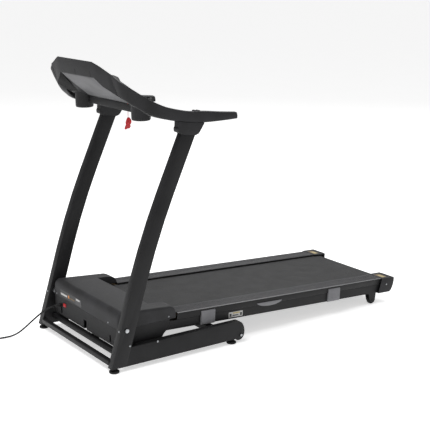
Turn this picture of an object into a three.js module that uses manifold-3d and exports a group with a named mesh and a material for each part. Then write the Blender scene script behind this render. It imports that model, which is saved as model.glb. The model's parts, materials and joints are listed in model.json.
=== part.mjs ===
// A folding motorised treadmill. Millimetres, +Z up, +X to the user's left, +Y to the rear,
// where the user steps on. The origin is on the floor under the middle of the machine.
import * as THREE from 'three';
import { mergeVertices } from 'three/addons/utils/BufferGeometryUtils.js';
import Module from 'manifold-3d';

const wasm = await Module();
wasm.setup();

// Driving dimensions. Lengths along Y are counted from the front feet.
const gap = 0.3;                                        // running clearance between touching pieces
const rearEnd = 1466.2, frontEnd = -18;                 // reach of the end caps and of the front feet
const base = { half: 315, wall: 30, low: 18, high: 91, rear: 600 };
const feet = { x: 300, front: 2, rear: 543, radius: 20, pad: 9, stem: 6 };
const hinge = { y: 51, z: 160, bolt: 6 };               // the axis that the deck folds about
const deck = { slope: Math.atan(0.0494), top: 183.4 };  // the foot rails' top, where Y is 0
const frame = { in: 237.5, out: 267.5, low: -66, high: -31, front: 48, rear: 1445 };
const rail = { in: 197, out: 272, low: -25.5, front: 305, rear: 1394 };
const belt = { half: 200, thick: 1.8, top: -8 };
const roller = { radius: 22, front: 235, rear: 1425, shaft: 7.5, end: 236 };
const board = { half: 234, front: 275, rear: 1385, thick: 17 };
const hood = { half: 271, wall: 3, split: 150 };
const pulley = { low: 207, high: 223, driven: 36, driving: 16, belt: 3 };
const motorAxis = { y: 112, z: 137 };
const strut = { y: 80, z: 34, length: 437.92, lean: 6.008, cylinder: 11, bore: 5.6, rod: 5 };
const wheel = { radius: 21, y: 580, z: 31, width: 16 };
const rearWheel = { radius: 18, y: 1357, z: -98.56, in: 246.5, out: 261.5 };
const band = { out: 316, in: 282 };                     // the handrails' outer and inner faces
const cup = { x: 222, y: 184, outer: 40, inner: 36.5, low: 929, high: 1012, floor: 4 };
const seam = 236;                                       // where the console meets the handrails
const cord = { radius: 3.5, layers: 2 };
const coil = { x: -230.2, y: -288, inner: 27.3, outer: 49.1 };
const ROUND = 32, SMALL = 20;

const finish = (color, roughness, metalness) =>
  new THREE.MeshStandardMaterial({ color, roughness, metalness });
const paint = finish(0x2b2b2c, 0.5, 0.2);
const moulded = finish(0x3c3c3e, 0.6, 0);
const moulding = finish(0x707073, 0.6, 0);
const underside = finish(0x858587, 0.6, 0);
const rubber = finish(0x1a1a1b, 0.85, 0);
const fabric = finish(0x454445, 0.9, 0);
const ribbed = finish(0x4a4a4c, 0.6, 0);
const steel = finish(0xa9abad, 0.35, 0.9);
const glass = finish(0x101418, 0.1, 0);
const red = finish(0xc8202c, 0.45, 0);
const fibreboard = finish(0x6e5a45, 0.8, 0);

const machine = new THREE.Group();
machine.position.y = -(frontEnd + rearEnd) / 2;
const tilted = new THREE.Group();                       // the deck's own frame, sloping down to the rear
tilted.position.z = deck.top;
tilted.rotation.x = -deck.slope;
machine.add(tilted);

function add(name, geometry, material, parent = machine) {
  const mesh = new THREE.Mesh(geometry, material);
  mesh.name = name;
  parent.add(mesh);
  return mesh;
}

// Solids

function box(x0, x1, y0, y1, z0, z1) {
  return new THREE.BoxGeometry(x1 - x0, y1 - y0, z1 - z0)
    .translate((x0 + x1) / 2, (y0 + y1) / 2, (z0 + z1) / 2);
}

function rod(axis, radius, from, to, a, b, sides = SMALL) {     // a cylinder along x, y or z
  const shape = new THREE.CylinderGeometry(radius, radius, to - from, sides);
  const middle = (from + to) / 2;
  if (axis === 'x') return shape.rotateZ(-Math.PI / 2).translate(middle, a, b);
  if (axis === 'y') return shape.translate(a, middle, b);
  return shape.rotateX(Math.PI / 2).translate(a, b, middle);
}

const sideways = new THREE.Matrix4().makeBasis(
  new THREE.Vector3(0, 1, 0), new THREE.Vector3(0, 0, 1), new THREE.Vector3(1, 0, 0));

function slab(outline, x0, x1, curveSegments = 12) {            // a side view, extruded along X
  const shape = outline instanceof THREE.Shape ? outline
    : new THREE.Shape(outline.map(([y, z]) => new THREE.Vector2(y, z)));
  const solid = new THREE.ExtrudeGeometry(shape, { depth: x1 - x0, bevelEnabled: false, curveSegments });
  return solid.applyMatrix4(sideways).translate(x0, 0, 0);
}

function turned(profile, sides = ROUND) {                       // a lathe along Z from [radius, z] points
  const points = profile.map(([r, z]) => new THREE.Vector2(r, z));
  return closed(new THREE.LatheGeometry(points, sides).rotateX(Math.PI / 2));
}

function loft(sections) {                                       // convex rings of points, joined in order
  const size = sections[0].length, points = sections.flat().flat(), index = [];
  for (let s = 0; s + 1 < sections.length; s++) {
    for (let i = 0; i < size; i++) {
      const a = s * size + i, b = s * size + (i + 1) % size;
      index.push(a, b, a + size, b, b + size, a + size);
    }
  }
  const last = (sections.length - 1) * size;
  for (let i = 1; i + 1 < size; i++) {
    index.push(0, i + 1, i, last, last + i, last + i + 1);
  }
  const solid = new THREE.BufferGeometry();
  solid.setAttribute('position', new THREE.Float32BufferAttribute(points, 3));
  solid.setIndex(index);
  return solid;
}

function closed(geometry) {                                     // shared vertices, no slivers, faces out
  const plain = geometry.clone();
  plain.deleteAttribute('normal');
  plain.deleteAttribute('uv');
  const merged = mergeVertices(plain, 1e-4);
  const from = merged.index.array, at = merged.attributes.position, faces = [];
  const corner = (i) => new THREE.Vector3().fromBufferAttribute(at, i);
  let volume = 0;
  for (let i = 0; i < from.length; i += 3) {
    const [a, b, c] = [from[i], from[i + 1], from[i + 2]];
    if (a === b || b === c || c === a) continue;
    faces.push(a, b, c);
    volume += corner(a).dot(corner(b).cross(corner(c)));
  }
  if (volume < 0) faces.reverse();
  merged.setIndex(faces);
  return merged;
}

function toManifold(geometry) {
  const merged = closed(geometry);
  return new wasm.Manifold(new wasm.Mesh({
    numProp: 3,
    vertProperties: new Float32Array(merged.attributes.position.array),
    triVerts: new Uint32Array(merged.index.array),
  }));
}

function toGeometry(solid) {
  const mesh = solid.getMesh();
  const geometry = new THREE.BufferGeometry();
  geometry.setAttribute('position', new THREE.BufferAttribute(new Float32Array(mesh.vertProperties), 3));
  geometry.setIndex(new THREE.BufferAttribute(new Uint32Array(mesh.triVerts), 1));
  return geometry;
}

function join(first, ...others) {
  return toGeometry(others.reduce((sum, piece) => sum.add(toManifold(piece)), toManifold(first)));
}

function cut(first, ...others) {
  return toGeometry(others.reduce((sum, piece) => sum.subtract(toManifold(piece)), toManifold(first)));
}

function mirrored(geometry) {                                   // the same solid on the other side, X to -X
  return closed(geometry.clone().scale(-1, 1, 1));
}

function pair(name, geometry, material, parent = machine) {     // left is +X, right is -X
  add(name + '_left', geometry, material, parent);
  add(name + '_right', mirrored(geometry), material, parent);
}

// Base frame

const uprightLine = [                                           // rear edge of an upright, [y, z]
  [46.5, base.low], [145, 340], [182, 450], [224, 560], [266, 658], [364.5, 875.3]];

function uprightOutline() {
  const front = uprightLine.slice(0, -1).map(([y, z]) => [y - 63.5, z]);
  return [...uprightLine, [304.6, 883.6], ...front.reverse()];
}

function buildBase() {
  const bolt = rod('x', hinge.bolt + gap, 270, 330, hinge.y, hinge.z);
  pair('upright', cut(slab(uprightOutline(), base.half - base.wall, base.half), bolt), paint);

  const end = new THREE.Shape();                                // side tube, with its round rear end
  const slant = (z) => 46.5 + gap + (z - base.low) * (145 - 46.5) / (340 - base.low);
  end.moveTo(slant(base.low), base.low).lineTo(555, base.low).lineTo(562, 12);
  end.bezierCurveTo(600, 4, 605, 50, 592, 72).bezierCurveTo(587, 84, 578, base.high, 566, base.high);
  end.lineTo(slant(base.high), base.high);
  const slot = box(290, 310, 548, 620, 0, 58);
  const axle = 5;                                               // its bolt is fixed in the tube's walls
  const tube = join(cut(slab(end, base.half - base.wall, base.half), slot),
    rod('x', axle, 286, 315.3, wheel.y, wheel.z), rod('x', 6.5, 315, 319.5, wheel.y, wheel.z));
  pair('base_side_tube', tube, paint);

  const inner = base.half - base.wall - gap;
  add('base_front_tube', box(-inner, inner, -14, 6, 25, 45), paint);
  const lug = (x) => join(slab([[50, 42], [70, 25], [86, 25], [90, 36], [80, 44], [50, 56]], x, x + 4));
  const middle = join(box(-inner, inner, 37, 57, 40, 60), lug(-13), lug(9));
  add('base_middle_tube', cut(middle, rod('x', 4 + gap, -20, 20, strut.y, strut.z)), paint);
  add('base_rear_tube', box(-inner, inner, 500, 530, 22, 50), paint);

  const foot = turned([[0, 0], [feet.radius - 2, 0], [feet.radius, 2], [feet.radius, feet.pad - 2],
    [feet.radius - 4, feet.pad], [feet.stem, feet.pad], [feet.stem, base.low - gap],
    [0, base.low - gap]], 24);
  for (const [place, y] of [['front', feet.front], ['rear', feet.rear]]) {
    pair('foot_' + place, foot.clone().translate(feet.x, y, 0), rubber);
  }

  const tyre = cut(rod('x', wheel.radius, 292, 292 + wheel.width, wheel.y, wheel.z, ROUND),
    rod('x', axle + gap, 280, 320, wheel.y, wheel.z));
  pair('transport_wheel', tyre, rubber);

  pair('pivot_bolt', join(rod('x', hinge.bolt, 250, 315.5, hinge.y, hinge.z),
    rod('x', 11, 271.5, 284.5, hinge.y, hinge.z),
    rod('x', 8, 315.3, 319.5, hinge.y, hinge.z)), steel);
}

// Folding strut between the base and the deck

function buildStrut() {
  const eye = (y) => cut(rod('x', 9, -8.6, 8.6, y, 0), rod('x', 4 + gap, -10, 10, y, 0));
  const barrel = turned([[strut.bore, 0], [strut.cylinder, 0], [strut.cylinder, -262],
    [0, -262], [0, -256], [strut.bore, -256], [strut.bore, 0]], 24);
  barrel.rotateX(-Math.PI / 2);                                 // its open end points along +Y
  const cylinder = join(barrel.translate(0, 276, 0), box(-5, 5, 6, 16, -5, 5),
    rod('x', 9, -8.6, 8.6, 0, 0), rod('x', 4, -13, 13, 0, 0));
  const rodSolid = join(rod('y', strut.rod, 30, strut.length - 6, 0, 0), eye(strut.length));
  for (const [name, shape, material] of [
    ['strut_cylinder', cylinder, paint], ['strut_rod', rodSolid, steel]]) {
    const mesh = add(name, shape, material);
    mesh.position.set(0, strut.y, strut.z);
    mesh.rotation.x = strut.lean * Math.PI / 180;
  }
}

// Deck: everything here is in the tilted frame, with Z counted from the foot rails' top

function buildDeck() {
  const shaft = belt.top - belt.thick - gap - roller.radius;    // height of both roller axes
  const hingeLow = new THREE.Vector3(0, hinge.y, hinge.z - deck.top).applyAxisAngle(
    new THREE.Vector3(1, 0, 0), deck.slope);                    // the fold axis in the tilted frame
  const cradle = (y) => box(230, 275, y - roller.shaft - gap, y + roller.shaft + gap,
    shaft - roller.shaft - gap, 0);
  const tube = box(frame.in, frame.out, frame.front, frame.rear, frame.low, frame.high);
  const plate = slab([[frame.front, frame.low], [100, frame.low], [84, hingeLow.z], [68, 4],
    [45, 4], [45, -10]], 258, frame.out);
  const ear = (x) => slab([[1332, frame.low + 1], [1342, -98], [1348, -108], [1357, -111.5], [1366, -108],
    [1371, -98], [1374, frame.low + 1]], x, x + 4);
  const rearTab = join(ear(240), ear(263.5), rod('x', 5, 242, 269, rearWheel.y, rearWheel.z));
  const side = cut(join(tube, plate, rearTab), cradle(roller.front), cradle(roller.rear),
    rod('x', hinge.bolt + gap, 240, 280, hingeLow.y, hingeLow.z));
  pair('deck_side_frame', side, paint, tilted);
  pair('rear_wheel', cut(rod('x', rearWheel.radius, rearWheel.in, rearWheel.out, rearWheel.y, rearWheel.z, ROUND),
    rod('x', 5 + gap, 240, 275, rearWheel.y, rearWheel.z)), rubber, tilted);

  const across = frame.in - gap;
  const cheek = (x) => box(x, x + 4, 508, 540, -88, -60);
  add('strut_crossmember', join(box(-across, across, 535, 557, -76, -58.8), cheek(-16), cheek(12)),
    paint, tilted);
  add('rear_crossmember', box(-across, across, 1180, 1210, -50, -28.6), paint, tilted);

  const boardTop = belt.top - belt.thick - gap;
  add('running_board', box(-board.half, board.half, board.front, board.rear,
    boardTop - board.thick, boardTop), fibreboard, tilted);

  const loop = (radius) => {
    const outline = new THREE.Shape();
    outline.absarc(roller.front, shaft, radius, Math.PI / 2, Math.PI * 3 / 2);
    outline.absarc(roller.rear, shaft, radius, -Math.PI / 2, Math.PI / 2);
    outline.closePath();
    return outline;
  };
  const ring = loop(roller.radius + gap + belt.thick);
  ring.holes.push(loop(roller.radius + gap));
  add('running_belt', slab(ring, -belt.half, belt.half, 16), fabric, tilted);

  const drum = (y) => join(rod('x', roller.radius, -205, 205, y, shaft, ROUND),
    rod('x', roller.shaft, -roller.end, roller.end, y, shaft));
  add('front_roller', join(drum(roller.front),
    rod('x', pulley.driven, -pulley.high, -pulley.low, roller.front, shaft, ROUND)), steel, tilted);
  add('rear_roller', drum(roller.rear), steel, tilted);

  pair('foot_rail', railSolid(), ribbed, tilted);
  pair('end_cap', capSolid(), moulded, tilted);
  buildDrive(shaft);
}

function railSolid() {                                          // a ribbed tread with a skirt outside
  const profile = new THREE.Shape();
  profile.moveTo(rail.in, -6).lineTo(rail.in, -1.5);
  const ribs = 9, pitch = (rail.out - rail.in) / ribs;
  for (let i = 0; i < ribs; i++) {
    const x = rail.in + i * pitch;
    profile.lineTo(x + 0.15 * pitch, 0).lineTo(x + 0.75 * pitch, 0).lineTo(x + 0.85 * pitch, -1.5);
    profile.lineTo(x + pitch, -1.5);
  }
  profile.lineTo(rail.out, rail.low).lineTo(frame.out + gap, rail.low).lineTo(frame.out + gap, -6);
  const solid = new THREE.ExtrudeGeometry(profile,
    { depth: rail.rear - rail.front, bevelEnabled: false });
  return solid.rotateX(Math.PI / 2).translate(0, rail.rear, 0);
}

function capSolid() {
  const outline = new THREE.Shape();
  outline.moveTo(1378, -66).lineTo(1396, 0).lineTo(1464, 0);
  outline.bezierCurveTo(1468, 0, 1469, -4, 1467, -24).bezierCurveTo(1462, -46, 1456, -62, 1443, -66);
  const outer = slab(outline, 204, 281, 6);
  const hollow = box(198, 278, 1370, 1448, -62.5, -3.5);
  const lip = slab([[1396, -4], [1396, 0], [1463, 0], [1463, -30], [1458, -30], [1458, -4]], 191, 206);
  const frameWay = box(frame.in - gap, frame.out + gap, 1370, frame.rear + 1, -70, -3.5);
  return cut(join(outer, lip), hollow, frameWay);
}

function buildDrive(shaft) {
  const cosine = Math.cos(deck.slope), sine = Math.sin(deck.slope);
  const motorY = motorAxis.y * cosine - (motorAxis.z - deck.top) * sine;
  const motorZ = motorAxis.y * sine + (motorAxis.z - deck.top) * cosine;
  add('motor', join(rod('x', 42, -150, -34, motorY, motorZ, ROUND),
    box(-140, -44, motorY - 30, motorY + 30, motorZ - 50, motorZ)), paint, tilted);
  add('motor_rotor', join(rod('x', 7, -pulley.high - 3, -150.4, motorY, motorZ),
    rod('x', 36, -180, -164, motorY, motorZ, ROUND),
    rod('x', pulley.driving, -pulley.high, -pulley.low, motorY, motorZ, ROUND)), steel, tilted);

  const wrap = (grow) => {                                      // an open belt round the two pulleys
    const dy = roller.front - motorY, dz = shaft - motorZ, reach = Math.hypot(dy, dz);
    const lean = Math.atan2(dz, dy), big = pulley.driven + grow, small = pulley.driving + grow;
    const contact = Math.acos((small - big) / reach);
    const outline = new THREE.Shape();
    outline.absarc(motorY, motorZ, small, lean + contact, lean - contact + 2 * Math.PI);
    outline.absarc(roller.front, shaft, big, lean - contact, lean + contact);
    outline.closePath();
    return outline;
  };
  const around = wrap(pulley.belt);
  around.holes.push(wrap(gap));
  add('drive_belt', slab(around, -pulley.high + 1, -pulley.low - 1, 12), rubber, tilted);
}

// Motor hood and its tray

function hoodOutline(inset) {                                   // side view of hood and tray together
  const o = inset;
  return [[40 + o, 78 + o], [40 + o, 196 - o / 2], [46 + o, 212 - o], [59 + o / 2, 221 - o],
    [276 - o / 2, 204 - o], [296 - o, 192 - o], [303 - o, 172], [302 - o, hood.split - 0.1],
    [279 - o, hood.split - 0.1], [270 - o, 112], [247 - o, 94 + o], [228 - o, 66 + o]];
}

function buildHood() {
  const outer = slab(hoodOutline(0), -hood.half, hood.half);
  const inside = slab(hoodOutline(hood.wall), -hood.half + hood.wall, hood.half - hood.wall);
  const splitLow = box(-400, 400, 0, 400, 0, hood.split);
  const splitHigh = box(-400, 400, 0, 400, hood.split - gap, 400);
  const beltWay = box(-205, 205, 209, 400, 90, 400);            // the belt leaves under the hood's back edge
  const underHood = box(-205, 205, 200, 215, 0, 192);
  const railWay = box(-267.9, 267.9, 240, 310, 60, 168);        // room for the rails and frame behind
  const bolts = join(rod('x', 7, 260, 300, hinge.y, hinge.z), rod('x', 7, -300, -260, hinge.y, hinge.z));
  add('hood_cover', cut(outer, inside, splitLow, beltWay, underHood, railWay, bolts), moulding);

  const trayBack = box(-hood.half + hood.wall, hood.half - hood.wall, 150, 400, 90, 400);
  const trough = box(-24, 24, 62, 300, 50, 110);                // a slot that clears the folding strut
  const slots = [-205, 205].map((x) => box(x - 6, x + 6, 30, 46, 70, 112));
  const strutSlot = box(-12.5, 12.5, 30, 64, 50, 112);          // the cylinder passes here when folded
  const switchHole = box(-186.4, -163.6, 30, 50, 117.6, 132.4);
  const cordHole = rod('y', 6 + gap, 30, 50, -207, 119);
  const tray = cut(outer, inside, splitHigh, trayBack, trough, strutSlot, bolts, ...slots, switchHole, cordHole,
    box(-267.9, 267.9, 240, 300, 92, 168));
  add('motor_tray', tray, moulded);
  add('power_switch', join(box(-185.2, -164.8, 38, 46, 118.4, 131.6), box(-182, -168, 35.5, 39, 120, 130)), red);
  const relief = turned([[0, -9], [5.6, -9], [5.6, 3], [8, 3.3], [8, 5], [4.6, 26], [0, 26]], SMALL);
  add('cord_relief', relief.rotateX(Math.PI / 2).translate(-207, 40 - 3, 119), rubber);
}

// Handrails and console

const railing = [                                               // outer face's top and bottom edge, [x, y, z]
  [[seam + 2, 49.5, 1108], [seam + 2, 78, 1029], [seam + 2, 108, 1022], [seam + 2, 84, 1096]],
  [[272, 63, 1086], [252, 85, 1021], [236, 114, 1013], [250, 93, 1074]],
  [[292, 102, 1060], [276, 106, 1001], [246, 122, 996], [262, 120, 1050]],
  [[310, 141, 1033], [303, 137, 980], [270, 146, 977], [277, 150, 1025]],
  [[band.out, 196, 1003], [band.out, 172, 958], [band.in, 172, 958], [band.in, 196, 997]],
  [[band.out, 257, 979], [band.out, 230, 940], [band.in, 230, 940], [band.in, 257, 977]],
  [[band.out, 338, 961], [band.out, 320, 921], [band.in, 320, 921], [band.in, 338, 959]],
  [[band.out, 409, 956], [band.out, 404, 913], [band.in, 404, 913], [band.in, 409, 954]],
  [[band.out, 480, 948], [band.out, 496, 913], [band.in, 496, 913], [band.in, 480, 946]],
  [[band.out, 554, 941], [band.out, 557, 915], [band.in, 557, 915], [band.in, 554, 939]],
];

function buildHandrails() {
  const key = box(290, 308, 362, 392, 948, 975);
  pair('handrail', cut(loft(railing), key), moulded);
  const rocker = slab([[363, 950], [391, 950], [391, 959.5], [384, 961.5], [377, 959], [370, 962.5],
    [363, 961]], 291, 307);
  pair('grip_rocker', rocker, moulded);
  const cover = slab([[299, 885], [366, 876], [378, 874], [403, 912.5], [320, 920.4], [291, 926.4],
    [297, 905]], band.in + 1, band.out - 1);
  pair('upright_cover', cover, moulded);
}

const stations = [                                              // x, then [y, z] of front top, front foot,
  [-seam, [49.5, 1109], [77, 1029], [186, 962], [232, 960], [232, 984]],       // rear foot, lip, rear top
  [-211, [45.7, 1118.5], [62, 1045], [185, 972], [240, 961], [240, 986]],
  [-176, [38.5, 1133], [50, 1060], [184.5, 980], [245, 964], [245, 990]],
  [-137, [29.3, 1146], [38, 1087.5], [184.5, 981], [246, 966], [246, 992]],
  [137, [29.3, 1146], [38, 1087.5], [184.5, 981], [246, 966], [246, 992]],
  [176, [38.5, 1133], [50, 1060], [184.5, 980], [245, 964], [245, 990]],
  [211, [45.7, 1118.5], [62, 1045], [185, 972], [240, 961], [240, 986]],
  [seam, [49.5, 1109], [77, 1029], [186, 962], [232, 960], [232, 984]],
];

function consoleBody() {
  const middle = loft(stations.map(([x, ...ring]) => ring.map(([y, z]) => [x, y, z])));
  const wing = (x, y, z) => [[x, y, z], [x, y + 14, z - 46], [x, 186, 958], [x, 232, 956], [x, 232, 982]];
  const left = loft([wing(seam - 1, 112, 1050), wing(seam + 10, 126, 1041), wing(264, 156, 1022),
    wing(band.in - 2 * gap, 199, 998)]);
  return join(middle, left, mirrored(left));
}

function buildConsole() {
  const slope = Math.atan2(1146 - 992, 246 - 29.3);             // the fall of the user's face
  const face = new THREE.Group();                               // its own frame, Y down the slope
  face.position.set(0, 29.3, 1146);
  face.rotation.x = -slope;
  machine.add(face);
  face.updateMatrix();
  const recess = box(-132, 132, 14, 256, -9, 20).applyMatrix4(face.matrix);
  const cups = [cup.x, -cup.x].map((x) => rod('z', cup.outer + gap, 900, 1100, x, cup.y, ROUND));
  add('console_shell', cut(consoleBody(), recess, ...cups), underside);

  const keyHole = box(-12, 12, 229, 249, -20, 5);
  const windowHole = box(-100, 100, 28, 112, -4, 5);
  const buttonHoles = buttons.map(([, x, y]) => box(x - 13.4, x + 13.4, y - 9.4, y + 9.4, -5.2, 5));
  const plate = box(-131.6, 131.6, 14.4, 255.6, -8.6, -1);
  add('console_face', cut(plate, windowHole, keyHole, ...buttonHoles), moulded, face);
  add('display_window', box(-99.6, 99.6, 28.4, 111.6, -3.7, -0.6), glass, face);
  for (const [name, x, y] of buttons) {
    add(name, box(x - 13, x + 13, y - 9, y + 9, -3, 0.6), name === 'stop_button' ? red : moulding, face);
  }
  add('safety_key', join(box(-11.6, 11.6, 229.4, 248.6, -8.6, 4), box(-4, 4, 247, 282, 1, 4)), red, face);

  const holder = turned([[0, cup.low], [cup.outer - 5, cup.low], [cup.outer, cup.low + 5],
    [cup.outer, cup.high], [cup.inner, cup.high], [cup.inner, cup.low + cup.floor + 4],
    [cup.inner - 4, cup.low + cup.floor], [0, cup.low + cup.floor]]);
  pair('cup_holder', holder.translate(cup.x, cup.y, 0), moulded);
  add('console_crossbar', slab([[185, 950], [200, 950], [200, 974.2], [185, 978.7]], -181.4, 181.4), moulded);
}

const buttons = [['start_button', -72, 160], ['slower_button', -24, 160], ['faster_button', 24, 160],
  ['stop_button', 72, 160]];                                    // name, x, distance down the face

// Cords. A route is a list of points, and a thin round tube follows it.

function cordTube(route, radius, sides, steps) {
  const path = new THREE.CatmullRomCurve3(route.map((p) => new THREE.Vector3(...p)), false, 'centripetal');
  const ring = new THREE.Shape();
  for (let i = 0; i < sides; i++) {
    const turn = i / sides * 2 * Math.PI;
    const point = [radius * Math.cos(turn), radius * Math.sin(turn)];
    if (i === 0) ring.moveTo(...point);
    else ring.lineTo(...point);
  }
  ring.closePath();
  return new THREE.ExtrudeGeometry(ring, { steps, extrudePath: path });
}

function buildSafetyCord() {
  const route = [[0, 256.8, 983.8], [0, 256.8, 965], [0, 256.8, 940], [0, 256.8, 916], [0, 256.8, 907.3]];
  add('safety_cord', cordTube(route, 1, 8, 12), red);
  add('safety_clip', slab([[250, 862], [253, 857], [262, 857], [265, 863], [263, 886], [259, 905],
    [256.8, 907], [254, 905], [251, 886]], -9, 9), red);
}

function buildPowerCord() {
  const route = [[-207, 10.4, 119], [-208, -3, 117.6], [-212, -20, 112], [-219, -42, 99], [-227, -64, 81],
    [-236, -87, 60], [-246, -110, 38], [-257, -134, 18], [-266, -158, 7], [-272, -182, 3.9],
    [-275, -206, 3.9], [-275.6, -232, 3.9], [-275.6, -261.5, 3.9]];
  add('power_cord', cordTube(route, cord.radius, 10, 24), rubber);

  const low = 0.2, high = low + cord.layers * 6.6;              // the coil's outer shape, [radius, z]
  const ring = turned([[coil.inner, low], [coil.outer, low], [coil.outer, high], [coil.inner, high],
    [coil.inner, low]]);
  add('power_cord_coil', ring.translate(coil.x, coil.y, 0), rubber);

  const boot = turned([[0, 0], [4.2, 0], [6, -22], [8, -30], [0, -30]], SMALL).rotateX(-Math.PI / 2);
  const plugX = coil.x - coil.outer + 3.7, plugY = coil.y - 34;
  const body = box(plugX - 17, plugX + 17, plugY - 66, plugY - 27, 0.5, 26.5);
  const pin = (x) => rod('y', 2.4, plugY - 85, plugY - 60, plugX + x, 13);
  boot.translate(plugX, plugY, 13);
  add('power_plug', join(body, boot, pin(-9.5), pin(9.5)), rubber);
}

buildBase();
buildStrut();
buildDeck();
buildHood();
buildHandrails();
buildConsole();
buildSafetyCord();
buildPowerCord();

export default machine;
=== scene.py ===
import json
import math

import bmesh
import bpy
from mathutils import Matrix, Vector
from mathutils.bvhtree import BVHTree


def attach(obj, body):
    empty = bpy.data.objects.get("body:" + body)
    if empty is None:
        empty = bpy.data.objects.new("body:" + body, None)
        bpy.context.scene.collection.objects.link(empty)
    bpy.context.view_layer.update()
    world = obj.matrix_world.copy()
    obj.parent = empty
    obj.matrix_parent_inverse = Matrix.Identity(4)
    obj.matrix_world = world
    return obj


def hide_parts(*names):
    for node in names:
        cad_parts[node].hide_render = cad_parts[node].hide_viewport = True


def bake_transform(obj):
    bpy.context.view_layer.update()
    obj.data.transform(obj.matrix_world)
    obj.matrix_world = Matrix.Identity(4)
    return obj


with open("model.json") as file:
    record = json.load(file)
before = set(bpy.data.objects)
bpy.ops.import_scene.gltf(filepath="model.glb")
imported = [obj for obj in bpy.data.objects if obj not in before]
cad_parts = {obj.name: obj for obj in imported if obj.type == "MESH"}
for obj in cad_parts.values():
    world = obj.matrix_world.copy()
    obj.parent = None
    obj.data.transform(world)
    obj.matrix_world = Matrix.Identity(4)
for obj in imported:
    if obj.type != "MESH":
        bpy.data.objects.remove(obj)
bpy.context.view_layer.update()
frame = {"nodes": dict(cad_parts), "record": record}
bodies = frame["record"]["behaviour"]["bodies"]
bodyOf = {node: body for body, nodes in bodies.items() for node in nodes}
slotOf = {part["node"]: part["material_slot"] for part in frame["record"]["subparts"]}
scene = bpy.context.scene
print("frame loaded:", len(frame["nodes"]), "parts")

# Lengths below are millimetres from the front feet, along X to the user's left, Y to the rear and Z up.
feetToMiddle = 724.1
deckFrame = dict(slope=math.atan(0.0494), top=183.4)  # the deck's own frame, sloping to the rear


def at(x, y, z):
    return Vector((x / 1000, (y - feetToMiddle) / 1000, z / 1000))


def onDeck(x, y, z):  # Z counted from the foot rails' top
    c, s = math.cos(deckFrame["slope"]), math.sin(deckFrame["slope"])
    return at(x, y * c + z * s, -y * s + z * c + deckFrame["top"])


# Camera
cameraSetup = dict(lens=85.74, place=(3.4657, -2.4649, 1.4958), turn=(76.15, 0, 55.16))
cameraData = bpy.data.cameras.new("camera")
cameraData.lens, cameraData.sensor_width = cameraSetup["lens"], 36
camera = bpy.data.objects.new("camera", cameraData)
camera.location = cameraSetup["place"]
camera.rotation_euler = [math.radians(a) for a in cameraSetup["turn"]]
scene.collection.objects.link(camera)
scene.camera = camera


# Materials
def linear(hexColour, alpha=1.0):  # sRGB hex to linear
    parts = [int(hexColour[i:i + 2], 16) / 255 for i in (1, 3, 5)]
    return [c / 12.92 if c <= 0.04045 else ((c + 0.055) / 1.055) ** 2.4 for c in parts] + [alpha]


def addNode(tree, kind, links=(), **settings):
    # links are (input name or number, another node's output); settings are attributes or input values
    made = tree.nodes.new(kind)
    for key, value in settings.items():
        if key.startswith("in_"):
            name = key[3:].replace("_", " ")
            socket = made.inputs[int(name)] if name.isdigit() else made.inputs[name]
            socket.default_value = value
        else:
            setattr(made, key, value)
    for name, output in links:
        tree.links.new(output, made.inputs[name])
    return made


def newMaterial(name, **shaderInputs):
    material = bpy.data.materials.new(name)
    material.use_nodes = True
    tree = material.node_tree
    shader = tree.nodes["Principled BSDF"]
    for key, value in shaderInputs.items():
        shader.inputs[key.replace("_", " ")].default_value = value
    place = addNode(tree, "ShaderNodeTexCoord").outputs["Object"]
    return material, tree, shader, place


def twoTone(tree, shader, mask, low, high, start=0.35, end=0.65):
    ramp = addNode(tree, "ShaderNodeValToRGB", [("Fac", mask)])
    ramp.color_ramp.elements[0].position, ramp.color_ramp.elements[0].color = start, linear(low)
    ramp.color_ramp.elements[1].position, ramp.color_ramp.elements[1].color = end, linear(high)
    tree.links.new(ramp.outputs["Color"], shader.inputs["Base Color"])
    return ramp


def surface(tree, shader, height, depth, roughness=None, mask=None):
    bump = addNode(tree, "ShaderNodeBump", [("Height", height)], in_Strength=1.0, in_Distance=depth)
    tree.links.new(bump.outputs["Normal"], shader.inputs["Normal"])
    if roughness:
        spread = addNode(tree, "ShaderNodeMapRange", [("Value", mask or height)],
                         in_To_Min=roughness[0], in_To_Max=roughness[1])
        tree.links.new(spread.outputs["Result"], shader.inputs["Roughness"])


def paintedEdgeHighlight(tree, shader, ramp, highlightHex, amount, width=0.0012):
    # painted highlight: edges made paler, about a millimetre wide; ramp is a colour ramp or a colour mix
    flat = addNode(tree, "ShaderNodeNewGeometry").outputs["Normal"]
    soft = addNode(tree, "ShaderNodeBevel", samples=4, in_Radius=width)
    turn = addNode(tree, "ShaderNodeVectorMath", [(0, flat), (1, soft.outputs["Normal"])],
                   operation="DOT_PRODUCT")
    mask = addNode(tree, "ShaderNodeMapRange", [("Value", turn.outputs["Value"])], in_From_Min=0.995,
                   in_From_Max=0.9, in_To_Max=amount)
    tone = ramp.outputs[2] if ramp.bl_idname == "ShaderNodeMix" else ramp.outputs["Color"]
    mix = addNode(tree, "ShaderNodeMix", [(0, mask.outputs["Result"]), (6, tone)], data_type="RGBA")
    mix.inputs[7].default_value = linear(highlightHex)
    tree.links.new(mix.outputs[2], shader.inputs["Base Color"])


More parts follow.
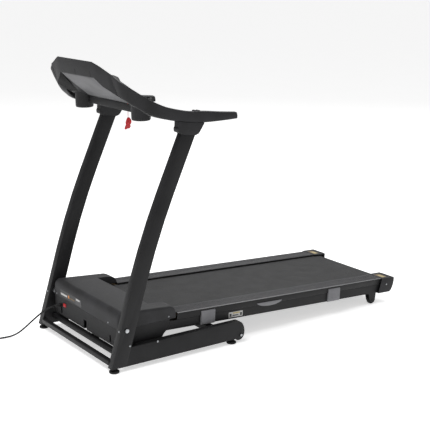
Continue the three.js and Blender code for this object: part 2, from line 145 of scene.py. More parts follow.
def powderCoat(name, low, high):
    # Polyester powder coat baked on steel tube: satin, with a fine orange peel, 1.5 mm from crest to crest
    material, tree, shader, place = newMaterial(name, IOR=1.5, Specular_IOR_Level=0.18)
    peel = addNode(tree, "ShaderNodeTexNoise", [("Vector", place)], in_Scale=650, in_Detail=2)
    cloud = addNode(tree, "ShaderNodeTexNoise", [("Vector", place)], in_Scale=9, in_Detail=3)
    ramp = twoTone(tree, shader, cloud.outputs["Fac"], low, high)
    surface(tree, shader, peel.outputs["Fac"], 0.00012, (0.36, 0.52), cloud.outputs["Fac"])
    # edges painted paler: a painted highlight
    paintedEdgeHighlight(tree, shader, ramp, "#3c3c3d", 0.3)
    return material


def mouldedAbs(name, low, high, grain=0.9, roughness=(0.48, 0.66), edgeHighlightHex="#5a5a5c"):
    # ABS moulded in a spark-eroded tool: an even pebble grain that breaks up the shine; drawn 0.9 mm wide,
    # coarser than the real 0.3 mm, so that it shows
    material, tree, shader, place = newMaterial(name, IOR=1.52, Specular_IOR_Level=0.2)
    pebble = addNode(tree, "ShaderNodeTexVoronoi", [("Vector", place)], in_Scale=1000 / grain,
                     feature="SMOOTH_F1", in_Smoothness=0.6)
    cloud = addNode(tree, "ShaderNodeTexNoise", [("Vector", place)], in_Scale=14, in_Detail=3)
    ramp = twoTone(tree, shader, cloud.outputs["Fac"], low, high)
    surface(tree, shader, pebble.outputs["Distance"], 0.0001, roughness, cloud.outputs["Fac"])
    # edges painted paler: a painted highlight
    paintedEdgeHighlight(tree, shader, ramp, edgeHighlightHex, 0.25)
    return material


def zincPlate(name, low="#8d8f92", high="#b4b6b8"):
    # Zinc-plated mild steel: cool grey with a cloudy, slightly yellow bloom and turning marks 0.8 mm apart
    material, tree, shader, place = newMaterial(name, Metallic=1.0)
    cloud = addNode(tree, "ShaderNodeTexNoise", [("Vector", place)], in_Scale=60, in_Detail=4)
    marks = addNode(tree, "ShaderNodeTexWave", [("Vector", place)], in_Scale=400, in_Distortion=0.6,
                    bands_direction="X")
    twoTone(tree, shader, cloud.outputs["Fac"], low, high)
    surface(tree, shader, marks.outputs["Fac"], 0.00003, (0.24, 0.42), cloud.outputs["Fac"])
    return material


def vulcanised(name, low, high, roughness=(0.68, 0.85)):
    # Vulcanised rubber or soft PVC: matt, with dust in a fine mottle 2 mm across
    material, tree, shader, place = newMaterial(name, IOR=1.5, Specular_IOR_Level=0.4)
    mottle = addNode(tree, "ShaderNodeTexNoise", [("Vector", place)], in_Scale=480, in_Detail=3)
    dust = addNode(tree, "ShaderNodeTexNoise", [("Vector", place)], in_Scale=40, in_Detail=4)
    twoTone(tree, shader, dust.outputs["Fac"], low, high, 0.4, 0.75)
    surface(tree, shader, mottle.outputs["Fac"], 0.00012, roughness, dust.outputs["Fac"])
    return material


def beltTopCoat(name):
    # PVC top coat on polyester belting, embossed with a diamond grip pattern, drawn 3.2 mm across
    material, tree, shader, place = newMaterial(name, IOR=1.5, Specular_IOR_Level=0.35)
    turned = addNode(tree, "ShaderNodeMapping", [("Vector", place)], in_Rotation=(0, 0, math.radians(45)))
    across = addNode(tree, "ShaderNodeTexWave", [("Vector", turned.outputs["Vector"])], in_Scale=98,
                     bands_direction="X")
    along = addNode(tree, "ShaderNodeTexWave", [("Vector", turned.outputs["Vector"])], in_Scale=98,
                    bands_direction="Y")
    diamonds = addNode(tree, "ShaderNodeMath",
                       [(0, across.outputs["Fac"]), (1, along.outputs["Fac"])], operation="MULTIPLY")
    scuff = addNode(tree, "ShaderNodeTexNoise", [("Vector", place)], in_Scale=16, in_Detail=5)
    blend = addNode(tree, "ShaderNodeMath", [(0, diamonds.outputs[0]), (1, scuff.outputs["Fac"])],
                    operation="MULTIPLY_ADD", in_2=0.25)
    twoTone(tree, shader, blend.outputs[0], "#151516", "#252527", 0.1, 0.85)
    surface(tree, shader, diamonds.outputs[0], 0.0003, (0.55, 0.72), scuff.outputs["Fac"])
    return material


def plainGloss(name, colour, roughness=0.25, **extra):
    # Glossy injection-moulded plastic: polished tool, faint flow marks 8 mm across
    material, tree, shader, place = newMaterial(name, IOR=1.5, **extra)
    flow = addNode(tree, "ShaderNodeTexNoise", [("Vector", place)], in_Scale=120, in_Detail=2)
    twoTone(tree, shader, flow.outputs["Fac"], colour[0], colour[1])
    surface(tree, shader, flow.outputs["Fac"], 0.00005, (roughness, roughness + 0.12))
    return material


def fibreboardSheet(name):
    # Medium-density fibreboard: felted brown fibres, drawn 2 mm across and 5 mm long, no grain
    material, tree, shader, place = newMaterial(name, IOR=1.45)
    stretch = addNode(tree, "ShaderNodeMapping", [("Vector", place)], in_Scale=(1, 0.4, 1))
    fibre = addNode(tree, "ShaderNodeTexNoise", [("Vector", stretch.outputs["Vector"])], in_Scale=500,
                    in_Detail=5)
    twoTone(tree, shader, fibre.outputs["Fac"], "#54432f", "#7a6548", 0.3, 0.7)
    surface(tree, shader, fibre.outputs["Fac"], 0.0002, (0.75, 0.9))
    return material


def ribbedRail(name):
    # Extruded polypropylene foot rail: ribs 9 mm apart that run along it; upward faces painted paler as light
    # and the matt side skirt painted dark as shade, a painted highlight along the outer edge, placed in metres
    # from the middle
    ribsApart, highlightStart, highlightFull = 0.009, 0.2672, 0.2682
    material, tree, shader, place = newMaterial(name, IOR=1.49, Specular_IOR_Level=0.25)
    apart = addNode(tree, "ShaderNodeSeparateXYZ", [("Vector", place)])
    ribs = addNode(tree, "ShaderNodeMath", [(0, apart.outputs["X"])], operation="MULTIPLY",
                   in_1=2 * math.pi / ribsApart)
    wave = addNode(tree, "ShaderNodeMath", [(0, ribs.outputs[0])], operation="SINE")
    lines = addNode(tree, "ShaderNodeMapRange", [("Value", wave.outputs[0])], in_From_Min=0.55,
                    in_From_Max=0.95)
    # upward faces painted paler as painted light, side faces painted dark as painted shade
    way = addNode(tree, "ShaderNodeNewGeometry")
    upward = addNode(tree, "ShaderNodeSeparateXYZ", [("Vector", way.outputs["True Normal"])])
    top = addNode(tree, "ShaderNodeMapRange", [("Value", upward.outputs["Z"])], in_From_Min=0.35,
                  in_From_Max=0.75)
    cloud = addNode(tree, "ShaderNodeTexNoise", [("Vector", place)], in_Scale=14, in_Detail=3)
    ramp = twoTone(tree, shader, cloud.outputs["Fac"], "#363638", "#414143")
    ribbed = addNode(tree, "ShaderNodeMix", [(0, lines.outputs[0]), (6, ramp.outputs["Color"])],
                     data_type="RGBA")
    ribbed.inputs[7].default_value = linear("#6a6a6c")
    # a painted highlight along the rail's outer edge
    outward = addNode(tree, "ShaderNodeMath", [(0, apart.outputs["X"])], operation="ABSOLUTE")
    outerEdgeHighlight = addNode(tree, "ShaderNodeMapRange", [("Value", outward.outputs[0])], in_From_Min=highlightStart,
                  in_From_Max=highlightFull)
    highlighted = addNode(tree, "ShaderNodeMix", [(0, outerEdgeHighlight.outputs[0]), (6, ribbed.outputs[2])], data_type="RGBA")
    highlighted.inputs[7].default_value = linear("#a2a2a4")
    litTopShadedSides = addNode(tree, "ShaderNodeMix", [(0, top.outputs[0]), (7, highlighted.outputs[2])], data_type="RGBA")
    litTopShadedSides.inputs[6].default_value = linear("#1b1b1c")
    surface(tree, shader, lines.outputs[0], 0.0006, (0.4, 0.58), cloud.outputs["Fac"])
    # edges painted paler: a painted highlight
    paintedEdgeHighlight(tree, shader, litTopShadedSides, "#9a9a9c", 0.4)
    return material


# the paler edge colours given to mouldedAbs are painted highlights
finishes = dict(
    frame=powderCoat("powderCoatBlack", "#1c1c1d", "#242425"),
    motor=powderCoat("powderCoatMotor", "#252527", "#2e2e30"),
    trim=mouldedAbs("grainedAbsCharcoal", "#222223", "#2b2b2d", edgeHighlightHex="#707072"),
    hood=mouldedAbs("grainedAbsGraphite", "#2a2a2b", "#343436", edgeHighlightHex="#6a6a6c"),
    tray=mouldedAbs("grainedAbsTray", "#1d1d1e", "#262627"),
    shell=mouldedAbs("grainedAbsUnderside", "#5a5a5c", "#68686a"),
    rail=ribbedRail("ribbedPolypropylene"),
    pad=mouldedAbs("grainedAbsPad", "#707073", "#7e7e81", edgeHighlightHex="#8e8e90"),
    rubber=vulcanised("vulcanisedRubber", "#121213", "#1e1e1f"),
    lead=vulcanised("softPvcLead", "#141415", "#1c1c1d", (0.45, 0.6)),
    belt=beltTopCoat("embossedPvcBelting"),
    steel=zincPlate("zincPlatedSteel"),
    rodSteel=zincPlate("hardChromeRod", "#9c9ea1", "#c4c6c8"),
    red=plainGloss("redPolishedAbs", ("#b3121c", "#cf1f29")),
    window=plainGloss("smokedAcrylic", ("#06090b", "#0a0e11"), 0.22),
    orange=plainGloss("printedVinylOrange", ("#c0741c", "#cf8426"), 0.4),
    pale=plainGloss("printedVinylPale", ("#b4b4b2", "#c2c2c0"), 0.4),
    # painted shadow: the dark plates in the console's under-recess
    recess=mouldedAbs("grainedAbsShadow", "#0b0b0c", "#121213", roughness=(0.7, 0.85), edgeHighlightHex="#161617"),
    ink=plainGloss("printedVinylBlack", ("#151516", "#1b1b1c"), 0.4),
    hoodInk=plainGloss("printedVinylCharcoal", ("#242425", "#2a2a2b"), 0.45),
    tan=plainGloss("printedVinylTan", ("#5e4a2c", "#6d5734"), 0.45),
    cream=plainGloss("printedVinylCream", ("#a89868", "#b8a878"), 0.45),
    labelGrey=plainGloss("printedVinylGrey", ("#38383a", "#404042"), 0.45),
    board=fibreboardSheet("rawFibreboard"),
)
print("materials:", len(finishes))


# Mesh tools
def newObject(name, mesh, material):
    made = bpy.data.objects.new(name, mesh)
    scene.collection.objects.link(made)
    mesh.materials.clear()
    mesh.materials.append(material)
    return made


def meshFrom(name, points, faces, material):
    mesh = bpy.data.meshes.new(name)
    mesh.from_pydata([tuple(p) for p in points], [], faces)
    work = bmesh.new()
    work.from_mesh(mesh)
    bmesh.ops.remove_doubles(work, verts=work.verts, dist=1e-6)
    bmesh.ops.recalc_face_normals(work, faces=work.faces)
    work.to_mesh(mesh)
    work.free()
    return newObject(name, mesh, material)


def settled(piece):  # applies every modifier
    bpy.context.view_layer.update()
    done = bpy.data.meshes.new_from_object(piece.evaluated_get(bpy.context.evaluated_depsgraph_get()))
    piece.modifiers.clear()
    old = piece.data
    piece.data = done
    bpy.data.meshes.remove(old)
    return piece


def rounded(piece, width, segments=3, angle=30):
    bevel = piece.modifiers.new("edges", "BEVEL")
    bevel.width, bevel.segments, bevel.limit_method = width / 1000, segments, "ANGLE"
    bevel.angle_limit = math.radians(angle)
    return settled(piece)


def shaded(piece, angle=35):
    piece.data.polygons.foreach_set("use_smooth", [True] * len(piece.data.polygons))
    piece.data.set_sharp_from_angle(angle=math.radians(angle))
    return piece


def placed(piece, body, slot, *nodes):
    if nodes:
        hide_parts(*nodes)
    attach(piece, body)
    return piece


def cleanCopy(node, material, merged):  # a CAD solid as a welded mesh
    mesh = frame["nodes"][node].data.copy()
    mesh.name = node + "Shape"
    work = bmesh.new()
    work.from_mesh(mesh)
    bmesh.ops.remove_doubles(work, verts=work.verts, dist=2e-6)
    if merged:  # coplanar triangles made one face
        bmesh.ops.dissolve_limit(work, angle_limit=math.radians(0.6), verts=work.verts, edges=work.edges)
    work.to_mesh(mesh)
    work.free()
    for layer in list(mesh.uv_layers):
        mesh.uv_layers.remove(layer)
    if "custom_normal" in mesh.attributes:
        mesh.attributes.remove(mesh.attributes["custom_normal"])
    return newObject(mesh.name, mesh, material)


def eased(node, material, width, segments):
    # a CAD solid with its edges rounded, standing for that solid
    piece = cleanCopy(node, material, width > 0)
    if width:
        rounded(piece, width, segments)
    shaded(piece)
    return placed(piece, bodyOf[node], slotOf[node], node)


def prism(name, outline, x0, x1, material, where=at):  # a side view [y, z], extruded along X
    points = [where(x, y, z) for x in (x0, x1) for y, z in outline]
    n = len(outline)
    faces = [list(range(n)), list(range(2 * n - 1, n - 1, -1))]
    faces += [[i, (i + 1) % n, n + (i + 1) % n, n + i] for i in range(n)]
    return meshFrom(name, points, faces, material)


def block(name, x0, x1, y0, y1, z0, z1, material, where=at):
    return prism(name, [[y0, z0], [y1, z0], [y1, z1], [y0, z1]], x0, x1, material, where)


def lofted(name, rings, material):  # a closed skin over rings of equal count
    n, points = len(rings[0]), [p for ring in rings for p in ring]
    faces = []
    for r in range(len(rings) - 1):
        for i in range(n):
            a, b = r * n + i, r * n + (i + 1) % n
            faces.append([a, b, b + n, a + n])
    faces += [list(range(n - 1, -1, -1)), list(range((len(rings) - 1) * n, len(rings) * n))]
    return meshFrom(name, points, faces, material)


def turnedPiece(name, profile, centre, axis, material, sides=40):
    # a lathe: profile is [radius, height] along axis from centre, in millimetres
    spin = Vector((0, 0, 1)).rotation_difference(Vector(axis)).to_matrix()
    rings = []
    for radius, height in profile:
        ring = []
        for i in range(sides):
            turn = 2 * math.pi * i / sides
            spot = Vector((radius * math.cos(turn), radius * math.sin(turn), height))
            ring.append(centre + spin @ spot / 1000)
        rings.append(ring)
    return lofted(name, rings, material)


def carved(piece, *cutters):
    for cutter in cutters:
        difference = piece.modifiers.new("cut", "BOOLEAN")
        difference.operation, difference.object, difference.solver = "DIFFERENCE", cutter, "EXACT"
    settled(piece)
    for cutter in cutters:
        bpy.data.objects.remove(cutter)
    return piece


def joined(name, pieces):  # takes the first piece's material
    work = bmesh.new()
    for piece in pieces:
        work.from_mesh(piece.data)
    mesh = bpy.data.meshes.new(name)
    work.to_mesh(mesh)
    work.free()
    keep = pieces[0].data.materials[0]
    for piece in pieces:
        bpy.data.objects.remove(piece)
    return newObject(name, mesh, keep)


def curveThrough(points, steps):  # a Catmull-Rom line through the points
    line = []
    ends = [points[0] * 2 - points[1]] + points + [points[-1] * 2 - points[-2]]
    for i in range(1, len(ends) - 2):
        p0, p1, p2, p3 = ends[i - 1:i + 3]
        for k in range(steps):
            t = k / steps
            line.append(0.5 * ((2 * p1) + (p2 - p0) * t + (2 * p0 - 5 * p1 + 4 * p2 - p3) * t * t
                               + (3 * p1 - p0 - 3 * p2 + p3) * t ** 3))
    return line + [points[-1]]


def tubeAlong(name, path, radius, sides, material):
    # a round tube with flat ends, its rings turned as little as the path allows
    last = len(path) - 1
    tangents = [(path[min(i + 1, last)] - path[max(i - 1, 0)]).normalized() for i in range(len(path))]
    side = tangents[0].orthogonal().normalized()
    rings = []
    for i, p in enumerate(path):
        side = (side - tangents[i] * side.dot(tangents[i])).normalized()
        other = tangents[i].cross(side)
        rings.append([p + (side * math.cos(a) + other * math.sin(a)) * radius
                      for a in (2 * math.pi * k / sides for k in range(sides))])
    return lofted(name, rings, material)


# Power cord: a 7 mm mains lead, from the tray's front wall to the floor and into its coil and plug
powerLead = dict(
    route=[(-207, 10.4, 119), (-208, -3, 117.6), (-212, -20, 112), (-219, -42, 99), (-227, -64, 81),
           (-236, -87, 60), (-246, -110, 38), (-257, -134, 18), (-266, -158, 7), (-272, -182, 3.9),
           (-275, -206, 3.7), (-275.6, -232, 3.7), (-275.6, -261.5, 3.7)],
    tail=[(-275.4, -288, 10.4), (-275.6, -300, 11), (-275.6, -312, 12.4), (-275.6, -326, 13)],
    coilCentre=(-230.2, -288), turns=[45.4, 38.2, 31.0, 31.0, 38.2, 45.4],
    layers=[3.7, 3.7, 3.7, 10.4, 10.4, 10.4], perTurn=24, stepAcrossFrom=0.75, radius=3.5)


def leadPath(cord):
    points = [at(*p) for p in cord["route"]]
    cx, cy = cord["coilCentre"]
    turns, layers, per = cord["turns"], cord["layers"], cord["perTurn"]
    for turn in range(len(turns)):
        after = min(turn + 1, len(turns) - 1)
        for step in range(per):
            part = step / per
            shift = max(0, (part - cord["stepAcrossFrom"]) / (1 - cord["stepAcrossFrom"]))
            ease = shift * shift * (3 - 2 * shift)
            radius = turns[turn] + (turns[after] - turns[turn]) * ease
            height = layers[turn] + (layers[after] - layers[turn]) * ease
            angle = math.pi + 2 * math.pi * part
            points.append(at(cx + radius * math.cos(angle), cy + radius * math.sin(angle), height))
    return points + [at(*p) for p in cord["tail"]]


leadLine = curveThrough(leadPath(powerLead), 3)
powerCord = tubeAlong("powerCord", leadLine, powerLead["radius"] / 1000, 12, finishes["lead"])
shaded(powerCord, 60)
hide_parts("power_cord", "power_cord_coil")
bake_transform(powerCord)

plugSize = dict(
    place=(-275.6, -322, 13), ribs=6, ribApart=4.4, neck=[(7.6, 28.5), (7.8, 32)],
    grip=[(27, 8, 8), (32, 13, 11), (38, 16.4, 12.4), (58, 16.6, 12.6), (65, 16.2, 12.2), (66, 15, 11)],
    pinSide=9.5, pinBack=65.5, pin=[(2.4, 0), (2.4, 16), (2.0, 18.4), (1.2, 19)])


def makePlug(size):
    x, y, z = size["place"]
    profile = [(4.0, 0)]
    for i in range(size["ribs"]):  # ribbed boot, wider towards the plug
        r, along = 4.3 + 0.5 * i, size["ribApart"] * i
        profile += [(r, 0.8 + along), (r, 3.2 + along), (r - 0.9, 3.6 + along), (r - 0.8, 4.9 + along)]
    boot = turnedPiece("plugBoot", profile + size["neck"], at(x, y, z), (0, -1, 0), finishes["lead"], 24)
    rings = []
    for back, wide, high in size["grip"]:  # soft-cornered sections
        ring = []
        for i in range(32):
            a = 2 * math.pi * i / 32
            cx, sx = math.cos(a), math.sin(a)
            ring.append(at(x + wide * math.copysign(abs(cx) ** 0.5, cx), y - back,
                           z + high * math.copysign(abs(sx) ** 0.6, sx)))
        rings.append(ring)
    body = lofted("plugBody", rings, finishes["lead"])
    piece = shaded(joined("powerPlug", [boot, body]), 40)
    placed(piece, "base", "black_rubber", "power_plug")
    pins = [turnedPiece("pin", size["pin"], at(x + side, y - size["pinBack"], z), (0, -1, 0),
                        finishes["steel"], 16) for side in (-size["pinSide"], size["pinSide"])]
    return piece, placed(shaded(joined("powerPlugPins", pins)), "base", "bright_steel")


powerPlug, powerPlugPins = makePlug(plugSize)

# Safety cord: a thin red cord from the key to its clip
tether = dict(route=[(0, 256.8, 983.8), (0.3, 256.9, 970), (0.4, 256.6, 950), (0, 256.9, 930),
                     (0, 256.8, 907.3)], radius=1.0)
tetherLine = curveThrough([at(*p) for p in tether["route"]], 6)
safetyCord = shaded(tubeAlong("safetyCord", tetherLine, tether["radius"] / 1000, 10, finishes["red"]), 60)
placed(safetyCord, "safety_key", "red_plastic", "safety_cord")
clipSize = dict(y=256.8, top=907, thick=3.2, across=(0.6, 0.8), stretch=(1.2, 0.97), round=0.9,
                jaws=((1, 1.7), (0.86, -1.7)),  # width against the outline, shift sideways
                jaw=[(0, 1), (4, 0), (8, -6), (11, -14), (10, -24), (6.5, -30), (8, -38), (4, -45),
                     (-3, -45.5), (-9, -50), (-13, -48), (-11, -38), (-8, -30), (-9, -20), (-6, -9), (-3, -1)],
                coil=[(1.6, -5.5), (3.4, -5), (3.4, 5), (1.6, 5.5)], coilShift=(0.5, 1.5, -20))


def makeClip(size):
    # a sprung clothes clip, two jaws crossed at a coil of wire
    (ax, ay), (wider, longer) = size["across"], size["stretch"]
    jaws = []
    for mirror, back in size["jaws"]:
        rings = []
        for depth in (-0.5, 0.5):
            aside = depth * size["thick"] + back
            rings.append([at(mirror * x * ax * wider - aside * ay,
                             size["y"] + mirror * x * ay * wider + aside * ax,
                             size["top"] + z * longer) for x, z in size["jaw"]])
        jaws.append(rounded(lofted("jaw", rings, finishes["red"]), size["round"], 3))
    dx, dy, dz = size["coilShift"]
    jaws.append(turnedPiece("coil", size["coil"], at(dx, size["y"] + dy, size["top"] + dz), (-ay, ax, 0),
                            finishes["steel"], 20))
    clip = shaded(joined("safetyClip", jaws))
    return placed(clip, "safety_key", "red_plastic", "safety_clip")


safetyClip = makeClip(clipSize)

# Pieces that keep their solid's form, with softened edges: finish, edge radius and the steps round it.
# An edge of 0 leaves the solid's own faces.
pairedPieces = dict(
    upright=("frame", 3.0, 3), base_side_tube=("frame", 3.0, 3), foot_front=("rubber", 0.5, 2),
    foot_rear=("rubber", 0.5, 2), transport_wheel=("rubber", 1.2, 2), rear_wheel=("rubber", 1.5, 2),
    pivot_bolt=("steel", 0.6, 2), deck_side_frame=("frame", 0, 2), foot_rail=("rail", 0.25, 2),
    end_cap=("trim", 1.2, 3), grip_rocker=("trim", 0.6, 2))
singlePieces = dict(
    base_front_tube=("frame", 2.0, 3), base_middle_tube=("frame", 1.0, 3), base_rear_tube=("frame", 2.0, 3),
    rear_crossmember=("frame", 2.0, 3), strut_crossmember=("frame", 2.0, 3), strut_cylinder=("motor", 0.8, 2),
    strut_rod=("rodSteel", 0.4, 2), front_roller=("steel", 0.6, 2), rear_roller=("steel", 0.6, 2),
    motor=("motor", 1.5, 2), motor_rotor=("steel", 0.5, 2), drive_belt=("rubber", 0, 2),
    running_belt=("belt", 0, 2), running_board=("board", 1, 2), power_switch=("red", 0.6, 2),
    cord_relief=("lead", 0.3, 2), console_shell=("trim", 3, 3), console_face=("trim", 0.8, 2),
    display_window=("window", 0.5, 2), console_crossbar=("trim", 2, 3), safety_key=("red", 0.8, 2),
    start_button=("pad", 1.0, 3), slower_button=("pad", 1.0, 3), faster_button=("pad", 1.0, 3),
    stop_button=("red", 1.0, 3))
for side in ("left", "right"):
    for part, (finish, width, segments) in pairedPieces.items():
        eased(part + "_" + side, finishes[finish], width, segments)
for part, (finish, width, segments) in singlePieces.items():
    eased(part, finishes[finish], width, segments)
print("pieces from the solids")

# Handrails: one moulded band each, from the console's chamfer round to the grip
handrail = dict(
    sections=[  # top outside, bottom outside, bottom inside, top inside
        [(238, 49.5, 1108), (238, 78, 1029), (238, 108, 1022), (238, 84, 1096)],
        [(272, 63, 1086), (252, 85, 1021), (236, 114, 1013), (250, 93, 1074)],
        [(292, 102, 1060), (276, 106, 1001), (246, 122, 996), (262, 120, 1050)],
        [(310, 141, 1033), (303, 137, 980), (270, 146, 977), (277, 150, 1025)],
        [(316, 196, 1003), (316, 172, 958), (282, 172, 958), (282, 196, 997)],
        [(316, 257, 979), (316, 230, 940), (282, 230, 940), (282, 257, 977)],
        [(316, 338, 961), (316, 320, 921), (282, 320, 921), (282, 338, 959)],
        [(316, 409, 956), (316, 404, 913), (282, 404, 913), (282, 409, 954)],
        [(316, 480, 948), (316, 496, 913), (282, 496, 913), (282, 480, 946)],
        [(316, 554, 941), (316, 557, 915), (282, 557, 915), (282, 554, 939)]],
    corner=7.0, cornerSteps=4, steps=7, crown=1.2, tip=((1.2, 0.93), (2.4, 0.8)))


def roundedRing(corners, radius, steps, crown):  # a quad with its corners rounded in its plane
    ring, middle = [], sum(corners, Vector()) / len(corners)
    for i, corner in enumerate(corners):
        before, after = corners[i - 1], corners[(i + 1) % len(corners)]
        reach = min(radius / 1000, 0.45 * (before - corner).length, 0.45 * (after - corner).length)
        a = corner + (before - corner).normalized() * reach
        b = corner + (after - corner).normalized() * reach
        for k in range(steps + 1):
            t = k / steps
            ring.append(a * (1 - t) ** 2 + corner * (2 * t * (1 - t)) + b * t * t)
        centre = (corner + after) / 2  # a slightly crowned face
        ring.append(centre + (centre - middle).normalized() * crown / 1000)
    return ring


def makeHandrail(side, size):
    sign = 1 if side == "left" else -1
    lines = []
    for corner in range(4):
        run = [at(sign * s[corner][0], *s[corner][1:]) for s in size["sections"]]
        lines.append(curveThrough(run, size["steps"]))
    rings = [roundedRing([line[i] for line in lines], size["corner"], size["cornerSteps"], size["crown"])
             for i in range(len(lines[0]))]
    last = rings[-1]
    centre = sum(last, Vector()) / len(last)
    for drop, shrink in size["tip"]:  # softened end of the grip
        rings.append([centre + (p - centre) * shrink + Vector((0, drop / 1000, 0)) for p in last])
    rail = lofted("handrail_%sShape" % side, rings, finishes["trim"])
    return placed(shaded(rail, 40), "base", "trim_plastic", "handrail_" + side)


for side in ("left", "right"):
    makeHandrail(side, handrail)

# Upright covers: the moulded sleeves between the uprights and the handrails
uprightCover = dict(x=(282.2, 316.8), round=3.5, outline=[
    (300, 882), (303, 877), (364, 869), (377, 873.5), (383, 880), (404, 911), (403, 914), (320, 921.5),
    (294, 927), (291, 924), (290, 906), (286, 899), (287, 888), (291, 884)])


def makeCover(side, size):
    sign = 1 if side == "left" else -1
    xs = sorted(sign * x for x in size["x"])
    sleeve = prism("upright_cover_%sShape" % side, size["outline"], *xs, finishes["trim"])
    rounded(sleeve, size["round"], 3, 25)
    return placed(shaded(sleeve), "base", "trim_plastic", "upright_cover_" + side)


for side in ("left", "right"):
    makeCover(side, uprightCover)

# Cup holders: deep thin-walled cups, slightly tapered, with a rolled rim and a shallow well in the floor
cupHolder = dict(x=222, y=184, profile=[
    (0, 929.3), (29, 929.3), (33.2, 930.4), (35.6, 933.5), (36.2, 938), (38, 1004), (39.2, 1007),
    (39.9, 1010), (39.4, 1012.4), (38, 1013), (36.5, 1012), (35.8, 1009), (33.6, 941), (32.9, 936.6),
    (30, 934.2), (26, 933.6), (25.4, 932.8), (0, 932.8)])
for side, sign in (("left", 1), ("right", -1)):
    cup = turnedPiece("cup_holder_%sShape" % side, cupHolder["profile"],
                      at(sign * cupHolder["x"], cupHolder["y"], 0), (0, 0, 1), finishes["trim"], 56)
    placed(shaded(cup, 30), "base", "trim_plastic", "cup_holder_" + side)
print("handrails, covers and cups")

# Motor hood and tray: two soft-cornered mouldings that meet at a parting line
motorHood = dict(
    half=271, wall=4, round=12, split=150, gap=0.5, crown=1.5, crownFrom=175, crownOver=30,
    ribOut=206.5, room=202.5, curtain=204.5,  # each side of the ribs between room and ears
    upper=[(40, 120), (40, 192), (46, 208), (59, 217), (276, 200.5), (296, 189), (303, 170), (302, 120)],
    upperRadii=[0, 8, 12, 16, 22, 14, 10, 0], upperOpen=(140, 90),
    lower=[(40, 73), (40, 180), (281, 180), (270, 112), (247, 94), (228, 66)],
    lowerRadii=[5, 0, 0, 8, 8, 6], lowerOpen=(160, 230),
    # cuts by x0, x1, y0, y1, z0, z1, in the order they are made
    upperCuts=dict(beltWay=(-204.3, 204.3, 209, 420, 80, 420), rollerWay=(-230, 230, 196, 330, 80, 166),
                   railWay=(-267.9, 267.9, 240, 310, 60, 169)),
    lowerCuts=dict(slotLeft=(199, 211, 30, 46, 84, 112), slotRight=(-211, -199, 30, 46, 84, 112),
                   back=(-267, 267, 150, 400, 90, 400), trough=(-24, 24, 62, 300, 50, 110),
                   strutSlot=(-12.5, 12.5, 30, 64, 50, 112),
                   switchHole=(-186.4, -163.6, 30, 50, 117.6, 132.4)),
    frameWay=(-267.9, 267.9, 240, 300, 92, 168),
    pivot=dict(x=262, y=51, z=160, profile=[(7, -14), (7, 14)]),
    cordHole=dict(x=-207, y=40, z=119, profile=[(6.3, -10), (6.3, 10)]))


def softOutline(points, radii, steps=5):  # a side view with its corners filleted
    made = []
    for i, (corner, radius) in enumerate(zip(points, radii)):
        here, before, after = Vector(corner), Vector(points[i - 1]), Vector(points[(i + 1) % len(points)])
        reach = min(radius, 0.45 * (before - here).length, 0.45 * (after - here).length)
        if reach < 0.5:
            made.append(here)
            continue
        a, b = here + (before - here).normalized() * reach, here + (after - here).normalized() * reach
        for k in range(steps + 1):
            t = k / steps
            made.append(a * (1 - t) ** 2 + here * (2 * t * (1 - t)) + b * t * t)
    return made


def insetOutline(points, distance):  # a clockwise side view, each edge moved in
    made = []
    for i, here in enumerate(points):
        u, v = (here - points[i - 1]).normalized(), (points[(i + 1) % len(points)] - here).normalized()
        a, b = Vector((u.y, -u.x)), Vector((v.y, -v.x))
        made.append(here + (a + b) * distance / max(0.4, 1 + a.dot(b)))
    return made


def bowedBody(name, outline, x0, x1, rounds, material, steps=5, spans=8):
    # a side view extruded along X in spans, with a quarter-round at each end whose radius isn't 0
    rings = []
    for x, radius, way in ((x0, rounds[0], -1), (x1, rounds[1], 1)):
        stops = [0] if not radius else [math.pi / 2 * k / steps for k in range(steps + 1)]
        for turn in (reversed(stops) if way < 0 else stops):
            inset = radius * (1 - math.cos(turn))
            place = x - way * radius * (1 - math.sin(turn))
            rings.append([at(place, p.x, p.y) for p in insetOutline(outline, inset)])
        if way < 0:
            for k in range(1, spans):
                rings.append([at(x0 + rounds[0] + (x1 - x0 - rounds[0] - rounds[1]) * k / spans, p.x, p.y)
                              for p in outline])
    return lofted(name, rings, material)


def cutFlat(piece, height, keepAbove):  # a level cut right through, closed again
    work = bmesh.new()
    work.from_mesh(piece.data)
    cut = bmesh.ops.bisect_plane(work, geom=work.verts[:] + work.edges[:] + work.faces[:], dist=1e-7,
                                 plane_co=(0, 0, height / 1000), plane_no=(0, 0, 1),
                                 clear_inner=keepAbove, clear_outer=not keepAbove)
    bmesh.ops.holes_fill(work, edges=[e for e in cut["geom_cut"] if isinstance(e, bmesh.types.BMEdge)])
    bmesh.ops.recalc_face_normals(work, faces=work.faces)
    work.to_mesh(piece.data)
    work.free()
    return piece


def bowTop(piece, size):  # the hood's top is crowned from side to side
    for vertex in piece.data.vertices:
        rise = max(0.0, min(1.0, (vertex.co.z * 1000 - size["crownFrom"]) / size["crownOver"]))
        across = vertex.co.x * 1000 / size["half"]
        vertex.co.z += size["crown"] / 1000 * rise * (1 - across * across)


